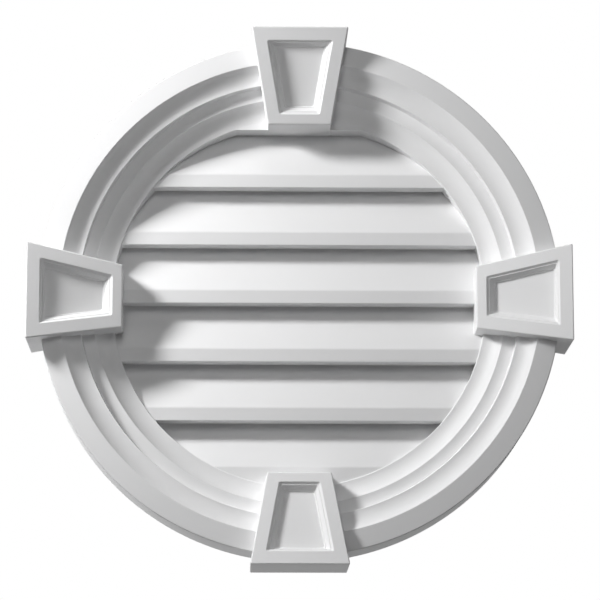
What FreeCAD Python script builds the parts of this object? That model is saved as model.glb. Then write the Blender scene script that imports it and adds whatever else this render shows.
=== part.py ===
import FreeCAD, Part
import math
import os
import re
import Sketcher

# Round gable vent, moulded in one piece: a coved trim ring, four keystones and a bank of louvres.
# Frame: +Z up, the front faces -Y, the origin is the centre of the flat back that lies on the wall.

doc = FreeCAD.newDocument("gable_vent")
sheet = doc.addObject("Spreadsheet::Sheet", "sizes")

# Millimetres and degrees. Depths run forward from the wall, radii from the ring's centre.
driving_sizes = [
    ("ring_radius", 342.2),
    ("band_width", 26.7),
    ("band_fall", 0.6),
    ("upper_cove_width", 25.2),
    ("upper_cove_rise", 13.0),
    ("step_height", 12.0),
    ("step_draft", 1.3),
    ("middle_cove_width", 16.4),
    ("middle_cove_rise", 2.3),
    ("middle_cove_radius", 53.0),
    ("lower_cove_width", 25.3),
    ("lower_cove_rise", 15.0),
    ("cove_fullness", 1.0),
    ("lip_depth", 39.0),
    ("ring_edge_bevel", 0.8),
    ("slat_count", 7),
    ("head_drop", 14.5),
    ("sill_rise", 8.5),
    ("nose_setback", 2.9),
    ("nose_height", 17.9),
    ("nose_round", 1.5),
    ("slat_overlap", 7.4),
    ("slat_top_width", 2.5),
    ("slat_seat", 8.0),
    ("louvre_gap", 8.4),
    ("keystone_count", 4),
    ("wedge_angle", 10.2),
    ("keystone_overhang", 13.4),
    ("keystone_reach", 15.1),
    ("keystone_outer_rise", 29.2),
    ("keystone_inner_rise", 32.2),
    ("keystone_edge_round", 1.2),
    ("panel_side_border", 17.0),
    ("panel_outer_border", 18.0),
    ("panel_inner_border", 13.5),
    ("panel_drop", 3.0),
    ("panel_ledge", 2.2),
    ("panel_wall_depth", 7.0),
    ("panel_wall_angle", 32.0),
    ("panel_step", 1.2),
    ("panel_step_drop", 1.5),
]

# Values that follow from the driving sizes, as sheet formulas.
derived_sizes = [
    ("ridge_radius", "=ring_radius - band_width"),
    ("upper_step_radius", "=ridge_radius - upper_cove_width"),
    ("step_foot_radius", "=upper_step_radius - step_draft"),
    ("lower_step_radius", "=step_foot_radius - middle_cove_width"),
    ("opening_radius", "=lower_step_radius - lower_cove_width"),
    ("lower_step_depth", "=lip_depth + lower_cove_rise"),
    ("step_foot_depth", "=lower_step_depth + middle_cove_rise"),
    ("upper_step_depth", "=step_foot_depth + step_height"),
    ("ridge_depth", "=upper_step_depth + upper_cove_rise"),
    ("rim_depth", "=ridge_depth - band_fall"),
    ("upper_cove_radius", "=cove_fullness * sqrt(upper_cove_width ^ 2 + upper_cove_rise ^ 2)"),
    ("lower_cove_radius", "=cove_fullness * sqrt(lower_cove_width ^ 2 + lower_cove_rise ^ 2)"),
    ("nose_depth", "=lip_depth - nose_setback"),
    ("sill_level", "=opening_radius - sill_rise"),
    ("head_level", "=opening_radius - head_drop"),
    ("bank_height", "=sill_level + head_level"),
    ("slat_pitch", "=bank_height / (slat_count - 1)"),
    ("slat_top_height", "=slat_pitch + slat_overlap"),
    ("slat_lean", "=(nose_depth - slat_top_width) / (slat_top_height - nose_height)"),
    ("slat_back", "=nose_depth - slat_lean * (slat_pitch - nose_height) + louvre_gap"),
    ("slat_heel_height", "=slat_back / slat_lean"),
    ("slat_seat_radius", "=opening_radius + slat_seat"),
    ("keystone_outer_radius", "=ring_radius + keystone_overhang"),
    ("keystone_inner_radius", "=opening_radius - keystone_reach"),
    ("keystone_outer_depth", "=ridge_depth + keystone_outer_rise"),
    ("keystone_inner_depth", "=lip_depth + keystone_inner_rise"),
    ("face_run", "=keystone_outer_radius - keystone_inner_radius"),
    ("face_rise", "=keystone_outer_depth - keystone_inner_depth"),
    ("face_tilt", "=atan(face_rise / face_run) / 1deg"),
    ("face_length", "=sqrt(face_run ^ 2 + face_rise ^ 2)"),
    ("outer_half_width", "=keystone_outer_radius * tan(wedge_angle * 1deg)"),
    ("inner_half_width", "=keystone_inner_radius * tan(wedge_angle * 1deg)"),
    ("face_flare", "=(outer_half_width - inner_half_width) / face_length"),
    ("flare_stretch", "=sqrt(1 + face_flare ^ 2)"),
    ("panel_wall_foot", "=panel_drop + panel_wall_depth"),
    ("panel_depth", "=panel_wall_foot + panel_step_drop"),
    ("wall_inset", "=panel_ledge - panel_drop * tan(panel_wall_angle * 1deg)"),
    ("floor_inset", "=panel_ledge + panel_wall_depth * tan(panel_wall_angle * 1deg) + panel_step"),
]

all_sizes = driving_sizes + derived_sizes
aliases = [alias for alias, value in all_sizes]
for row, (alias, value) in enumerate(all_sizes, start=1):
    sheet.set(f"A{row}", alias)
    sheet.set(f"B{row}", str(value))
    sheet.setAlias(f"B{row}", alias)
doc.recompute()

tolerance = 0.01


def size(alias):
    return float(sheet.get(alias))


def with_sheet(formula):
    return re.sub("[a-z_]+", lambda word: f"sizes.{word[0]}" if word[0] in aliases else word[0], formula)


def bind(item, path, formula):
    item.setExpression(path, with_sheet(formula))


def new_body(label):
    body = doc.addObject("PartDesign::Body", label)
    body.Label = label
    body.AllowCompound = True
    return body


def origin_item(body, role):
    return next(item for item in body.Origin.OriginFeatures if item.Role == role)


def new_sketch(body, name, plane):
    sketch = body.newObject("Sketcher::SketchObject", name)
    sketch.AttachmentSupport = (origin_item(body, plane), "")
    sketch.MapMode = "FlatFace"
    return sketch


def coordinate(sketch, formula):
    sign = -1 if formula.startswith("-") else 1
    return sign * float(sketch.evalExpression(with_sheet(formula.lstrip("-"))))


def tie_point(sketch, geometry, kind, axis, formula):
    # holds the first point of a sketch line at a signed distance from the sketch's origin
    if formula == "0":
        sketch.addConstraint(Sketcher.Constraint("PointOnObject", geometry, 1, axis))
        return
    ends = (geometry, 1, -1, 1) if formula.startswith("-") else (-1, 1, geometry, 1)
    distance = abs(coordinate(sketch, formula))
    index = sketch.addConstraint(Sketcher.Constraint(kind, *ends, distance))
    bind(sketch, f"Constraints[{index}]", formula.lstrip("-"))


def draw_outline(sketch, corners):
    # anticlockwise corners: across, up and, where a hollow arc follows, the arc's radius
    points = [FreeCAD.Vector(coordinate(sketch, c[0]), coordinate(sketch, c[1]), 0) for c in corners]
    for index, corner in enumerate(corners):
        start = points[index]
        end = points[(index + 1) % len(points)]
        if len(corner) == 2:
            sketch.addGeometry(Part.LineSegment(start, end))
            continue
        half_chord = (end - start) / 2
        reach = size(corner[2])
        sag = reach - math.sqrt(reach ** 2 - half_chord.Length ** 2)
        across_chord = FreeCAD.Vector(half_chord.y, -half_chord.x, 0).normalize()
        sketch.addGeometry(Part.Arc(start, start + half_chord + across_chord * sag, end))
    for index, corner in enumerate(corners):
        following = (index + 1) % len(corners)
        sketch.addConstraint(Sketcher.Constraint("Coincident", index, 2, following, 1))
        tie_point(sketch, index, "DistanceX", -2, corner[0])
        tie_point(sketch, index, "DistanceY", -1, corner[1])
        if len(corner) == 3:
            constraint = sketch.addConstraint(Sketcher.Constraint("Radius", index, size(corner[2])))
            bind(sketch, f"Constraints[{constraint}]", corner[2])


def dress_edges(body, kind, name, base, wanted):
    doc.recompute()
    numbers = [n for n, edge in enumerate(base.Shape.Edges, start=1) if wanted(edge)]
    dressed = body.newObject(kind, name)
    dressed.Base = (base, [f"Edge{n}" for n in numbers])
    return dressed


def repeat_shape(body, name, kind, count):
    pattern = body.newObject(kind, name)
    pattern.TransformMode = "Whole shape"
    bind(pattern, "Occurrences", count)
    body.Tip = pattern
    return pattern


def build_ring():
    body = new_body("trim_ring")
    sketch = new_sketch(body, "ring_profile", "YZ_Plane")
    profile = [
        ("0", "opening_radius"),
        ("-lip_depth", "opening_radius", "lower_cove_radius"),
        ("-lower_step_depth", "lower_step_radius", "middle_cove_radius"),
        ("-step_foot_depth", "step_foot_radius"),
        ("-upper_step_depth", "upper_step_radius", "upper_cove_radius"),
        ("-ridge_depth", "ridge_radius"),
        ("-rim_depth", "ring_radius"),
        ("0", "ring_radius"),
    ]
    draw_outline(sketch, profile)
    turned = body.newObject("PartDesign::Revolution", "ring_turned")
    turned.Profile = sketch
    turned.ReferenceAxis = (sketch, ["H_Axis"])
    turned.Angle = 360

    # the coves meet in crisp lines; the ridge, the rim and the lip are eased
    def is_eased_edge(edge):
        if not isinstance(edge.Curve, Part.Circle) or edge.Curve.Center.y > -tolerance:
            return False
        outer = edge.Curve.Radius > size("ridge_radius") - tolerance
        lip = edge.Curve.Radius < size("opening_radius") + tolerance
        return outer or lip

    bevels = dress_edges(body, "PartDesign::Chamfer", "ring_bevels", turned, is_eased_edge)
    bind(bevels, "Size", "ring_edge_bevel")
    return body


def louvre_end(name, depth, height, base_height):
    # closes the bank between its last slat and the ring
    block = doc.addObject("Part::Box", name)
    bind(block, "Length", "2 * slat_seat_radius")
    bind(block, "Width", depth)
    bind(block, "Height", height)
    bind(block, "Placement.Base.x", "0 - slat_seat_radius")
    bind(block, "Placement.Base.y", f"0 - ({depth})")
    bind(block, "Placement.Base.z", base_height)
    return block


def build_louvres():
    body = new_body("louvre_bars")
    sketch = new_sketch(body, "slat_section", "YZ_Plane")
    bind(sketch, "AttachmentOffset.Base.y", "0 - sill_level")
    section = [
        ("-nose_depth", "0"),
        ("-slat_back", "0"),
        ("0", "slat_heel_height"),
        ("0", "slat_top_height"),
        ("-slat_top_width", "slat_top_height"),
        ("-nose_depth", "nose_height"),
    ]
    draw_outline(sketch, section)
    slat = body.newObject("PartDesign::Pad", "slat")
    slat.Profile = sketch
    slat.SideType = "Symmetric"
    bind(slat, "Length", "2 * slat_seat_radius")

    def is_nose(edge):
        along = all(abs(vertex.Y + size("nose_depth")) < tolerance for vertex in edge.Vertexes)
        return along and edge.BoundBox.ZLength < tolerance

    rounds = dress_edges(body, "PartDesign::Fillet", "nose_rounds", slat, is_nose)
    bind(rounds, "Radius", "nose_round")
    bank = repeat_shape(body, "slat_bank", "PartDesign::LinearPattern", "slat_count")
    bank.Direction = (sketch, ["V_Axis"])
    bind(bank, "Length", "bank_height")

    # the sill carries the lowest nose down into the ring, and a heel fills the notch behind that slat
    below = "slat_seat_radius - sill_level"
    sill = louvre_end("louvre_sill", "nose_depth", f"{below} + 2 * nose_round", "0 - slat_seat_radius")
    heel = louvre_end("louvre_heel", "slat_back", f"{below} + slat_heel_height", "0 - slat_seat_radius")
    # the head closes the opening down to the top nose, just short of the lip
    head_depth = "lip_depth - ring_edge_bevel / 2"
    head = louvre_end("louvre_head", head_depth, "slat_seat_radius - head_level", "head_level")
    filled = doc.addObject("Part::MultiFuse", "louvre_bars_and_ends")
    filled.Shapes = [body, sill, heel, head]

    disc = doc.addObject("Part::Cylinder", "louvre_disc")
    disc.Placement.Rotation = FreeCAD.Rotation(FreeCAD.Vector(1, 0, 0), 90)
    bind(disc, "Radius", "slat_seat_radius")
    bind(disc, "Height", "2 * lip_depth")
    bind(disc, "Placement.Base.y", "lip_depth")

    trimmed = doc.addObject("Part::Common", "louvre_bank")
    trimmed.Base = filled
    trimmed.Tool = disc
    return trimmed


def lay_on_face(sketch):
    # the tilted front of the keystone, with the sketch's origin at the middle of its outer edge
    sketch.AttachmentOffset.Rotation = FreeCAD.Rotation(FreeCAD.Vector(1, 0, 0), size("face_tilt"))
    bind(sketch, "AttachmentOffset.Base.y", "keystone_outer_radius")
    bind(sketch, "AttachmentOffset.Base.z", "keystone_outer_depth")
    bind(sketch, "AttachmentOffset.Rotation.Angle", "face_tilt")


def draw_trapezium(sketch, outer_width, outer_place, inner_width, inner_place):
    corners = [
        (outer_width, outer_place),
        (f"-{outer_width}", outer_place),
        (f"-{inner_width}", inner_place),
        (inner_width, inner_place),
    ]
    draw_outline(sketch, corners)


def cut_panel(body, name, inset, depth, taper):
    sketch = new_sketch(body, f"{name}_outline", "XZ_Plane")
    lay_on_face(sketch)
    side = f"(panel_side_border + {inset}) * flare_stretch"
    draw_trapezium(
        sketch,
        f"(outer_half_width - face_flare * (panel_outer_border + {inset}) - {side})",
        f"-(panel_outer_border + {inset})",
        f"(inner_half_width + face_flare * (panel_inner_border + {inset}) - {side})",
        f"-(face_length - panel_inner_border - {inset})",
    )
    pocket = body.newObject("PartDesign::Pocket", name)
    pocket.Profile = sketch
    bind(pocket, "Length", depth)
    if taper:
        bind(pocket, "TaperAngle", taper)
    doc.recompute()
    if pocket.Shape.Volume > pocket.BaseFeature.Shape.Volume - tolerance:
        raise RuntimeError(f"{name} cuts nothing")


def build_keystones():
    body = new_body("keystones")
    base = new_sketch(body, "keystone_base", "XZ_Plane")
    draw_trapezium(
        base, "outer_half_width", "keystone_outer_radius", "inner_half_width", "keystone_inner_radius"
    )
    block = body.newObject("PartDesign::Pad", "keystone_block")
    block.Profile = base
    bind(block, "Length", "keystone_outer_depth")
    # takes off the front down to the face, which leans back towards the opening
    slope = new_sketch(body, "keystone_slope", "YZ_Plane")
    waste = [
        ("-keystone_outer_depth", "keystone_inner_radius"),
        ("-keystone_inner_depth", "keystone_inner_radius"),
        ("-keystone_outer_depth", "keystone_outer_radius"),
    ]
    draw_outline(slope, waste)
    wedge = body.newObject("PartDesign::Pocket", "keystone_wedge")
    wedge.Profile = slope
    wedge.SideType = "Symmetric"
    bind(wedge, "Length", "3 * outer_half_width")

    def is_free(edge):
        return edge.BoundBox.YMin < -tolerance

    rounds = dress_edges(body, "PartDesign::Fillet", "keystone_rounds", wedge, is_free)
    bind(rounds, "Radius", "keystone_edge_round")
    cut_panel(body, "panel_mouth", "0", "panel_drop", None)
    cut_panel(body, "panel_wall", "wall_inset", "panel_wall_foot", "0 - panel_wall_angle")
    cut_panel(body, "panel_floor", "floor_inset", "panel_depth", None)
    ring_of_four = repeat_shape(body, "keystone_ring", "PartDesign::PolarPattern", "keystone_count")
    ring_of_four.Axis = (origin_item(body, "Y_Axis"), [""])
    ring_of_four.Angle = 360
    return body


vent = doc.addObject("Part::MultiFuse", "vent_body")
vent.Label = "vent_body"
vent.Shapes = [build_ring(), build_louvres(), build_keystones()]
vent.Refine = True
doc.recompute()

for item in doc.Objects:
    if "Invalid" in item.State or "Error" in item.State:
        raise RuntimeError(f"{item.Name} failed: {item.State}")
if vent.Shape.isNull() or not vent.Shape.isValid() or len(vent.Shape.Solids) != 1:
    raise RuntimeError(f"{vent.Label} is not one sound solid")

os.makedirs("parts", exist_ok=True)
vent.Shape.exportStep(f"parts/{vent.Label}.step")
print(vent.Label, round(vent.Shape.Volume), "cubic mm", vent.Shape.optimalBoundingBox(False))
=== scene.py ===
import bpy
import bmesh
import math
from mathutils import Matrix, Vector


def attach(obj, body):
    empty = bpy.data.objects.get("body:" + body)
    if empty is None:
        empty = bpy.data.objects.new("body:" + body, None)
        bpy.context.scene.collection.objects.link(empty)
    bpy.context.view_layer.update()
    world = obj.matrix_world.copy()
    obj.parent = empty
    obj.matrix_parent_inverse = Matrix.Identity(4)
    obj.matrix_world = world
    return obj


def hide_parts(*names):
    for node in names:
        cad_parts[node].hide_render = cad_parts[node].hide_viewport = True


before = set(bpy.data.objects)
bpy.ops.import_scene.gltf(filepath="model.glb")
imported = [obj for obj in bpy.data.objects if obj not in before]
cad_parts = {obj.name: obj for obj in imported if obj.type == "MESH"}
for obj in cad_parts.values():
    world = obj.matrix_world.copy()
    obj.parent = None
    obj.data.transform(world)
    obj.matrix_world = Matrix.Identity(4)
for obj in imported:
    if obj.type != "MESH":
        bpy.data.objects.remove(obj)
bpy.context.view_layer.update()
print("frame loaded")


def deselectAll():
    bpy.ops.object.select_all(action="DESELECT")


def nameNew(name):  # the primitive just added takes its name
    piece = bpy.context.object
    piece.name = name
    piece.data.name = name
    return piece


def makeActive(piece):
    deselectAll()
    piece.select_set(True)
    bpy.context.view_layer.objects.active = piece


def bakePlace(piece):
    makeActive(piece)
    bpy.ops.object.transform_apply(location=True, rotation=True, scale=True)


def editMode(piece):
    makeActive(piece)
    bpy.ops.object.mode_set(mode="EDIT")


def objectMode():
    bpy.ops.object.mode_set(mode="OBJECT")


def pickVerts(piece, wanted):
    bpy.ops.mesh.select_mode(type="VERT")
    bpy.ops.mesh.select_all(action="DESELECT")
    cage = bmesh.from_edit_mesh(piece.data)
    for vert in cage.verts:
        vert.select = wanted(vert.co)
    cage.select_flush_mode()
    bmesh.update_edit_mesh(piece.data)


def pickEdges(piece, wanted):
    bpy.ops.mesh.select_mode(type="EDGE")
    bpy.ops.mesh.select_all(action="DESELECT")
    cage = bmesh.from_edit_mesh(piece.data)
    for edge in cage.edges:
        edge.select = wanted(edge.verts[0].co, edge.verts[1].co)
    cage.select_flush_mode()
    bmesh.update_edit_mesh(piece.data)


def near(a, b, slack=0.00005):
    return abs(a - b) < slack


def joinSolid(piece, other, operation, selfCross=False):  # other is used up
    makeActive(piece)
    bpy.ops.object.modifier_add(type="BOOLEAN")
    cut = piece.modifiers[-1]
    cut.operation = operation
    cut.object = other
    cut.solver = "EXACT"
    cut.use_self = selfCross
    bpy.ops.object.modifier_apply(modifier=cut.name)
    makeActive(other)
    bpy.ops.object.delete()


# round frame, metres: depth is measured forward of the wall, along -Y
ringSizes = {
    "segments": 288,
    "opening": 0.2473,
    "lipDepth": 0.0390,
    "lowerCove": (0.0253, 0.0150, 60),  # width, rise and degrees of hollow arc, from the opening out
    "middleCove": (0.0164, 0.0023, 18),
    "stepWall": (0.0013, 0.0110, 0),
    "upperCove": (0.0252, 0.0140, 56),
    "bandWidth": 0.0267,
    "bandFall": 0.0006,
    "arcSteps": 12,
    "roundSteps": 3,
    "ridgeRound": 0.0008,
    "rimRound": 0.0016,
    "arrisRound": 0.0004,
    "lipRound": 0.0012,
    "mergeWithin": 0.000001,
    "backSpare": 0.002,  # stands out behind the wall line until the back is planed flat
}


def hollowPoints(start, end, sweep, steps):
    if sweep == 0:
        return [end]
    chord = Vector((end[0] - start[0], end[1] - start[1]))
    middle = Vector(start) + chord / 2
    centre = middle + Vector((-chord.y, chord.x)) / (2 * math.tan(math.radians(sweep) / 2))
    arm = Vector(start) - centre
    points = []
    for step in range(1, steps + 1):
        turn = math.radians(sweep) * step / steps
        points.append((centre.x + arm.x * math.cos(turn) - arm.y * math.sin(turn),
                       centre.y + arm.x * math.sin(turn) + arm.y * math.cos(turn)))
    return points


def makeRing(sizes):
    lip = (sizes["opening"], sizes["lipDepth"])
    line = [lip]
    corners = []
    for section in ("lowerCove", "middleCove", "stepWall", "upperCove"):
        width, rise, sweep = sizes[section]
        end = (line[-1][0] + width, line[-1][1] + rise)
        line += hollowPoints(line[-1], end, sweep, sizes["arcSteps"])
        corners.append(end)
    lowerArris, upperArris, ridge = corners[0], corners[2], corners[3]
    rim = (ridge[0] + sizes["bandWidth"], ridge[1] - sizes["bandFall"])
    spare = sizes["backSpare"]
    line += [rim, (rim[0], -spare)]

    deselectAll()
    bpy.ops.mesh.primitive_circle_add(vertices=sizes["segments"], radius=sizes["opening"],
                                      location=(0, spare, 0), rotation=(math.radians(90), 0, 0))
    ring = nameNew("ventBody")
    bakePlace(ring)
    editMode(ring)
    bpy.ops.mesh.select_mode(type="EDGE")
    bpy.ops.mesh.select_all(action="SELECT")
    last = (sizes["opening"], -spare)
    for radius, depth in line:  # one loop pulled on after the other
        bpy.ops.mesh.extrude_edges_move(TRANSFORM_OT_translate={"value": (0, last[1] - depth, 0)})
        grow = radius / last[0]
        bpy.ops.transform.resize(value=(grow, 1, grow), center_override=(0, -depth, 0))
        last = (radius, depth)
    pickEdges(ring, lambda a, b: near(a.y, spare) and near(b.y, spare))
    bpy.ops.mesh.bridge_edge_loops()
    bpy.ops.mesh.select_all(action="SELECT")
    bpy.ops.mesh.remove_doubles(threshold=sizes["mergeWithin"])
    bpy.ops.mesh.normals_make_consistent(inside=False)

    def onLine(spots):
        def test(a, b):
            ra, rb = math.hypot(a.x, a.z), math.hypot(b.x, b.z)
            return any(near(ra, r) and near(rb, r) and near(a.y, -d) and near(b.y, -d) for r, d in spots)
        return test

    for spots, rounding in (([ridge], "ridgeRound"), ([rim], "rimRound"), ([lip], "lipRound"),
                            ([lowerArris, upperArris], "arrisRound")):
        pickEdges(ring, onLine(spots))
        bpy.ops.mesh.bevel(offset=sizes[rounding], segments=sizes["roundSteps"], affect="EDGES")
    objectMode()
    return ring


ring = makeRing(ringSizes)
print("ring made", len(ring.data.polygons))


# fixed louvres: one slat, stacked, closed above and below, trimmed round
louvreSizes = {
    "count": 7,
    "pitch": 0.0786,
    "lowestNose": -0.2388,
    "noseDepth": 0.0361,
    "noseHeight": 0.0179,
    "noseRound": 0.0014,
    "noseSteps": 4,
    "topWidth": 0.0025,
    "topRise": 0.0860,
    "heelDepth": 0.01455,
    "heelRise": 0.02949,
    "seatRadius": 0.2553,
    "overrun": 0.01,  # cut off by the round trim
    "trimLength": 0.2,
    "headDepth": 0.0389,
    "sillTop": -0.2358,
    "heelTop": -0.2093,
    "backSpare": 0.004,
}


def addBlock(name, half, depth, low, high, spare=0):  # spare stands out behind the wall line
    deselectAll()
    bpy.ops.mesh.primitive_cube_add(size=1, location=(0, (spare - depth) / 2, (low + high) / 2),
                                    scale=(2 * half, depth + spare, high - low))
    block = nameNew(name)
    bakePlace(block)
    return block


def makeLouvres(sizes):
    half = sizes["seatRadius"] + sizes["overrun"]
    foot = sizes["lowestNose"]
    front = -sizes["noseDepth"]
    noseTop = foot + sizes["noseHeight"]
    spare = sizes["backSpare"]
    slat = addBlock("louvreBank", half, sizes["noseDepth"], foot, foot + sizes["topRise"], spare)
    editMode(slat)
    bpy.ops.mesh.select_all(action="SELECT")
    slopeUp = sizes["topRise"] - sizes["noseHeight"]
    slopeBack = sizes["noseDepth"] - sizes["topWidth"]
    bpy.ops.mesh.bisect(plane_co=(0, front, noseTop), plane_no=(0, -slopeUp, slopeBack),
                        use_fill=True, clear_outer=True)  # weathering
    bpy.ops.mesh.select_all(action="SELECT")
    bpy.ops.mesh.bisect(plane_co=(0, 0, foot + sizes["heelRise"]),
                        plane_no=(0, sizes["heelRise"], -sizes["heelDepth"]),
                        use_fill=True, clear_outer=True)  # back of the slat
    pickEdges(slat, lambda a, b: near(a.y, front) and near(b.y, front) and near(a.z, b.z))
    bpy.ops.mesh.bevel(offset=sizes["noseRound"], segments=sizes["noseSteps"], affect="EDGES")
    bpy.ops.mesh.select_all(action="SELECT")
    bpy.ops.mesh.normals_make_consistent(inside=False)
    objectMode()

    makeActive(slat)
    bpy.ops.object.modifier_add(type="ARRAY")
    stack = slat.modifiers[-1]
    stack.count = sizes["count"]
    stack.use_relative_offset = False
    stack.use_constant_offset = True
    stack.constant_offset_displace = (0, 0, sizes["pitch"])
    bpy.ops.object.modifier_apply(modifier=stack.name)

    headFoot = foot + sizes["pitch"] * (sizes["count"] - 1)
    blocks = [
        addBlock("sill", half, sizes["noseDepth"], -half, sizes["sillTop"], spare),
        addBlock("heel", half, sizes["heelDepth"], -half, sizes["heelTop"], spare),
        addBlock("head", half, sizes["headDepth"], headFoot, half, spare),
    ]
    for block in blocks:
        joinSolid(slat, block, "UNION", selfCross=True)
    deselectAll()
    bpy.ops.mesh.primitive_cylinder_add(vertices=ringSizes["segments"], radius=sizes["seatRadius"],
                                        depth=sizes["trimLength"], rotation=(math.radians(90), 0, 0))
    trim = nameNew("louvreTrim")
    bakePlace(trim)
    joinSolid(slat, trim, "INTERSECT", selfCross=True)
    return slat


louvres = makeLouvres(louvreSizes)
print("louvres made", len(louvres.data.polygons))


# keystone: a leaning wedge with a sunk, stepped panel, modelled at the top
keystoneSizes = {
    "outerRadius": 0.3556,
    "innerRadius": 0.2322,
    "outerDepth": 0.1105,
    "innerDepth": 0.0712,
    "wedgeAngle": 10.2,
    "edgeRound": 0.0018,
    "edgeSteps": 4,
    "backZone": 0.01,  # edges nearer the wall than this stay sharp
    "sideBorder": 0.0170,
    "outerBorder": 0.0180,
    "innerBorder": 0.0135,
    "mouth": (0.0030, 0.0026, 0.004),  # three sloping stages: depth, width and how early the cut starts
    "wall": (0.0070, 0.0046, 0.001),
    "foot": (0.0015, 0.0010, 0.001),
    "ledge": 0.0009,
    "cornerRound": 0.0020,
    "cornerSteps": 4,
    "mouthRound": 0.0006,
    "mouthSteps": 2,
    "mouthMargin": 0.01,
    "backSpare": 0.003,
}


def makeKeystone(sizes):
    high, low = sizes["outerRadius"], sizes["innerRadius"]
    lean = math.tan(math.radians(sizes["wedgeAngle"]))
    fall = sizes["outerDepth"] - sizes["innerDepth"]
    run = math.hypot(high - low, fall)  # length of the leaning face
    tilt = math.atan2(fall, high - low)
    key = addBlock("keystoneTop", high * lean, sizes["outerDepth"], low, high, sizes["backSpare"])
    editMode(key)
    pickVerts(key, lambda v: near(v.z, low))
    bpy.ops.transform.resize(value=(low / high, 1, 1), center_override=(0, 0, low))
    front = -sizes["backZone"]
    pickVerts(key, lambda v: near(v.z, low) and v.y < front)
    bpy.ops.transform.translate(value=(0, fall, 0))
    pickEdges(key, lambda a, b: a.y < front or b.y < front)
    bpy.ops.mesh.bevel(offset=sizes["edgeRound"], segments=sizes["edgeSteps"], affect="EDGES")
    objectMode()

    spread = (high - low) * lean / run  # how fast the face widens along its length

    def halfWidth(along, inset):
        return low * lean + along * spread - (sizes["sideBorder"] + inset) * math.hypot(1, spread)

    def cutPanel(inset, start, end, slope):  # depths below the face; slope narrows the floor
        foot = sizes["innerBorder"] + inset
        head = run - sizes["outerBorder"] - inset
        core = addBlock("panelCore", halfWidth(head, inset), end - start, foot, head)
        editMode(core)
        bpy.ops.mesh.select_all(action="SELECT")
        bpy.ops.transform.translate(value=(0, end, 0))
        pickVerts(core, lambda v: near(v.z, foot))
        bpy.ops.transform.resize(value=(halfWidth(foot, inset) / halfWidth(head, inset), 1, 1),
                                 center_override=(0, 0, foot))
        for edge, shift in ((foot, slope), (head, -slope)):  # lean the walls in
            narrow = halfWidth(edge + shift, inset + slope) / halfWidth(edge, inset)
            pickVerts(core, lambda v: near(v.z, edge) and near(v.y, end))
            bpy.ops.transform.resize(value=(narrow, 1, 1), center_override=(0, 0, edge))
            bpy.ops.transform.translate(value=(0, 0, shift))
        pickEdges(core, lambda a, b: abs(a.y - b.y) > (end - start) / 2)
        bpy.ops.mesh.bevel(offset=sizes["cornerRound"], segments=sizes["cornerSteps"], affect="EDGES")
        objectMode()
        core.rotation_euler = (tilt, 0, 0)
        core.location = (0, -sizes["innerDepth"], low)
        bakePlace(core)
        joinSolid(key, core, "DIFFERENCE")

    inset, depth = 0, 0
    for stage in ("mouth", "wall", "foot"):
        drop, slope, early = sizes[stage]
        grade = slope / drop
        cutPanel(inset - early * grade, depth - early, depth + drop, slope + early * grade)
        inset += slope + sizes["ledge"]
        depth += drop

    up = Vector((0, -math.sin(tilt), math.cos(tilt)))
    out = Vector((0, -math.cos(tilt), -math.sin(tilt)))
    corner = Vector((0, -sizes["innerDepth"], low))

    def onMouth(p):
        along = (p - corner).dot(up)
        margin = sizes["mouthMargin"]
        inside = margin < along < run - margin and abs(p.x) < low * lean + along * spread - margin
        return inside and near((p - corner).dot(out), 0)

    editMode(key)
    pickEdges(key, lambda a, b: onMouth(a) and onMouth(b))
    bpy.ops.mesh.bevel(offset=sizes["mouthRound"], segments=sizes["mouthSteps"], affect="EDGES")
    bpy.ops.mesh.select_all(action="SELECT")
    bpy.ops.mesh.normals_make_consistent(inside=False)
    objectMode()
    return key


keystones = [makeKeystone(keystoneSizes)]
for place, turn in (("Left", 90), ("Bottom", 180), ("Right", 270)):
    makeActive(keystones[0])
    bpy.ops.object.duplicate()
    copy = nameNew("keystone" + place)
    bpy.ops.transform.rotate(value=math.radians(turn), orient_axis="Y", center_override=(0, 0, 0))
    bakePlace(copy)
    keystones.append(copy)
print("keystones made", len(keystones[0].data.polygons))


# one moulding
mouldingSizes = {
    "planeHalf": 0.5,
    "planeDepth": 0.2,
    "mergeWithin": 0.000002,
    "creaseAngle": 28.0,
}
joinSolid(ring, louvres, "UNION")
for key in keystones:
    joinSolid(ring, key, "UNION")
planeHalf = mouldingSizes["planeHalf"]
plane = addBlock("wallPlane", planeHalf, mouldingSizes["planeDepth"], -planeHalf, planeHalf)
joinSolid(ring, plane, "INTERSECT")  # flat back
editMode(ring)
bpy.ops.mesh.select_all(action="SELECT")
bpy.ops.mesh.remove_doubles(threshold=mouldingSizes["mergeWithin"])
bpy.ops.mesh.normals_make_consistent(inside=False)
objectMode()
makeActive(ring)
bpy.ops.object.shade_smooth_by_angle(angle=math.radians(mouldingSizes["creaseAngle"]))
bpy.ops.object.modifier_add(type="WEIGHTED_NORMAL")
ring.modifiers[-1].keep_sharp = True
bpy.ops.object.modifier_apply(modifier=ring.modifiers[-1].name)
print("moulding joined", len(ring.data.polygons))


# factory white over moulded urethane
whiteFinish = {
    "colour": (0.860, 0.860, 0.865, 1),
    "shade": (0.835, 0.835, 0.838, 1),
    "cloudScale": 9.0,
    "cloudDetail": 4,
    "skinScale": 620.0,
    "skinDetail": 2,
    "skinStrength": 0.05,
    "skinHeight": 0.0005,
    "roughLow": 0.44,
    "roughHigh": 0.52,
    "specular": 0.25,
}


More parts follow.
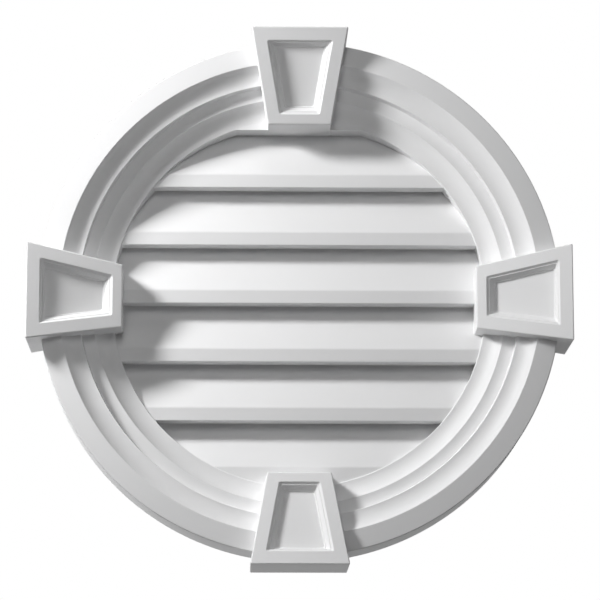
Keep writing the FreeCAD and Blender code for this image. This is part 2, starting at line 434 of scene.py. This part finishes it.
def makeWhite(values):
    finish = bpy.data.materials.new("whiteUrethane")
    finish.use_nodes = True
    nodes, links = finish.node_tree.nodes, finish.node_tree.links
    shader = nodes["Principled BSDF"]
    shader.inputs["Specular IOR Level"].default_value = values["specular"]
    place = nodes.new("ShaderNodeTexCoord")

    cloud = nodes.new("ShaderNodeTexNoise")  # slow drift of the paint
    cloud.inputs["Scale"].default_value = values["cloudScale"]
    cloud.inputs["Detail"].default_value = values["cloudDetail"]
    links.new(place.outputs["Object"], cloud.inputs["Vector"])
    tint = nodes.new("ShaderNodeMix")
    tint.data_type = "RGBA"
    tint.inputs["A"].default_value = values["shade"]
    tint.inputs["B"].default_value = values["colour"]
    links.new(cloud.outputs["Fac"], tint.inputs["Factor"])
    links.new(tint.outputs["Result"], shader.inputs["Base Color"])

    rough = nodes.new("ShaderNodeMapRange")
    rough.inputs["To Min"].default_value = values["roughLow"]
    rough.inputs["To Max"].default_value = values["roughHigh"]
    links.new(cloud.outputs["Fac"], rough.inputs["Value"])
    links.new(rough.outputs["Result"], shader.inputs["Roughness"])

    skin = nodes.new("ShaderNodeTexNoise")  # fine moulded skin
    skin.inputs["Scale"].default_value = values["skinScale"]
    skin.inputs["Detail"].default_value = values["skinDetail"]
    links.new(place.outputs["Object"], skin.inputs["Vector"])
    bump = nodes.new("ShaderNodeBump")
    bump.inputs["Strength"].default_value = values["skinStrength"]
    bump.inputs["Distance"].default_value = values["skinHeight"]
    links.new(skin.outputs["Fac"], bump.inputs["Height"])
    links.new(bump.outputs["Normal"], shader.inputs["Normal"])
    return finish


ring.data.materials.clear()
ring.data.materials.append(makeWhite(whiteFinish))
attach(ring, "root")
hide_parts("vent_body")
print("white finish on")


# studio: each lamp is azimuth on the vent's face, lift off it, distance, width, power and spread
studio = {
    "floorHeight": -1.60,
    "floorSize": 14.0,
    "floorColour": (0.55, 0.55, 0.55, 1),
    "floorRoughness": 0.9,
    "floorSeen": 0.85,  # share of plain white over the lit floor, which keeps the shadow
    "keyLamp": (148, 26.5, 1.5, 0.33, 24.3),
    "frontFill": (116, 73, 2.0, 0.6, 4.5),
    "topFill": (90, 27, 2.0, 1.0, 2.3),
    "rightFill": (45, 55, 1.1, 0.5, 0.35),
    "leftFill": (180, 70, 1.2, 0.5, 0.45),
    "backFill": (212, -30, 1.0, 0.6, 2.6),
    "rearLamp": (40, -45, 2.2, 1.4, 0.7, 50),
    "worldShade": (0, 0, 0, 1),
    "backdrop": (1, 1, 1, 1),
}


def addLamp(name, azimuth, lift, distance, size, power, spread=180):
    turn, rise = math.radians(azimuth), math.radians(lift)
    place = Vector((math.cos(rise) * math.cos(turn), -math.sin(rise), math.cos(rise) * math.sin(turn)))
    deselectAll()
    bpy.ops.object.light_add(type="AREA", location=place * distance)
    lamp = bpy.context.object
    lamp.name = name
    lamp.data.shape = "DISK"
    lamp.data.size = size
    lamp.data.energy = power
    lamp.data.spread = math.radians(spread)
    lamp.rotation_mode = "QUATERNION"
    lamp.rotation_quaternion = place.to_track_quat("Z", "Y")


def showBackdrop(tree, lit, plain, output, share):  # plain is for camera, glossy and transmission rays
    nodes, links = tree.nodes, tree.links
    rays = nodes.new("ShaderNodeLightPath")
    seen = rays.outputs["Is Camera Ray"]
    for kind in ("Is Glossy Ray", "Is Transmission Ray"):
        either = nodes.new("ShaderNodeMath")
        either.operation = "MAXIMUM"
        links.new(seen, either.inputs[0])
        links.new(rays.outputs[kind], either.inputs[1])
        seen = either.outputs[0]
    part = nodes.new("ShaderNodeMath")
    part.operation = "MULTIPLY"
    part.inputs[1].default_value = share
    links.new(seen, part.inputs[0])
    swap = nodes.new("ShaderNodeMixShader")
    links.new(part.outputs[0], swap.inputs[0])
    links.new(lit.outputs[0], swap.inputs[1])
    links.new(plain.outputs[0], swap.inputs[2])
    links.new(swap.outputs[0], nodes[output].inputs["Surface"])


for lampName in ("keyLamp", "frontFill", "topFill", "rightFill", "leftFill", "backFill", "rearLamp"):
    addLamp(lampName, *studio[lampName])

deselectAll()
bpy.ops.mesh.primitive_plane_add(size=studio["floorSize"], location=(0, 0, studio["floorHeight"]))
floor = nameNew("paleFloor")
bakePlace(floor)
floorFinish = bpy.data.materials.new("paleFloor")
floorFinish.use_nodes = True
nodes = floorFinish.node_tree.nodes
matt = nodes["Principled BSDF"]
matt.inputs["Base Color"].default_value = studio["floorColour"]
matt.inputs["Roughness"].default_value = studio["floorRoughness"]
pale = nodes.new("ShaderNodeEmission")
pale.inputs["Color"].default_value = studio["backdrop"]
showBackdrop(floorFinish.node_tree, matt, pale, "Material Output", studio["floorSeen"])
floor.data.materials.append(floorFinish)

world = bpy.data.worlds.new("studioWorld")
bpy.context.scene.world = world
world.use_nodes = True
nodes = world.node_tree.nodes
ambient = nodes["Background"]
ambient.inputs["Color"].default_value = studio["worldShade"]
backdrop = nodes.new("ShaderNodeBackground")
backdrop.inputs["Color"].default_value = studio["backdrop"]
showBackdrop(world.node_tree, ambient, backdrop, "World Output", 1)
print("studio set")


# camera, a little below and almost straight on
view = {
    "azimuth": -1.14,
    "elevation": -11.05,
    "distance": 3.894,
    "target": (0.0019, -0.0035, 0.0082),
    "focalPixels": 2917.9,
    "photoPixels": 600,
    "sensorWidth": 36,
    "clipEnd": 100,
}
around, above = math.radians(view["azimuth"]), math.radians(view["elevation"])
back = Vector((math.sin(around) * math.cos(above), -math.cos(around) * math.cos(above), math.sin(above)))
deselectAll()
bpy.ops.object.camera_add()
camera = bpy.context.object
camera.name = "photoCamera"
camera.location = Vector(view["target"]) + back * view["distance"]
camera.rotation_mode = "QUATERNION"
camera.rotation_quaternion = (-back).to_track_quat("-Z", "Y")
camera.data.sensor_width = view["sensorWidth"]
camera.data.lens = view["focalPixels"] * view["sensorWidth"] / view["photoPixels"]
camera.data.clip_end = view["clipEnd"]
bpy.context.scene.camera = camera
bpy.context.scene.view_settings.view_transform = "Standard"
print("camera set")
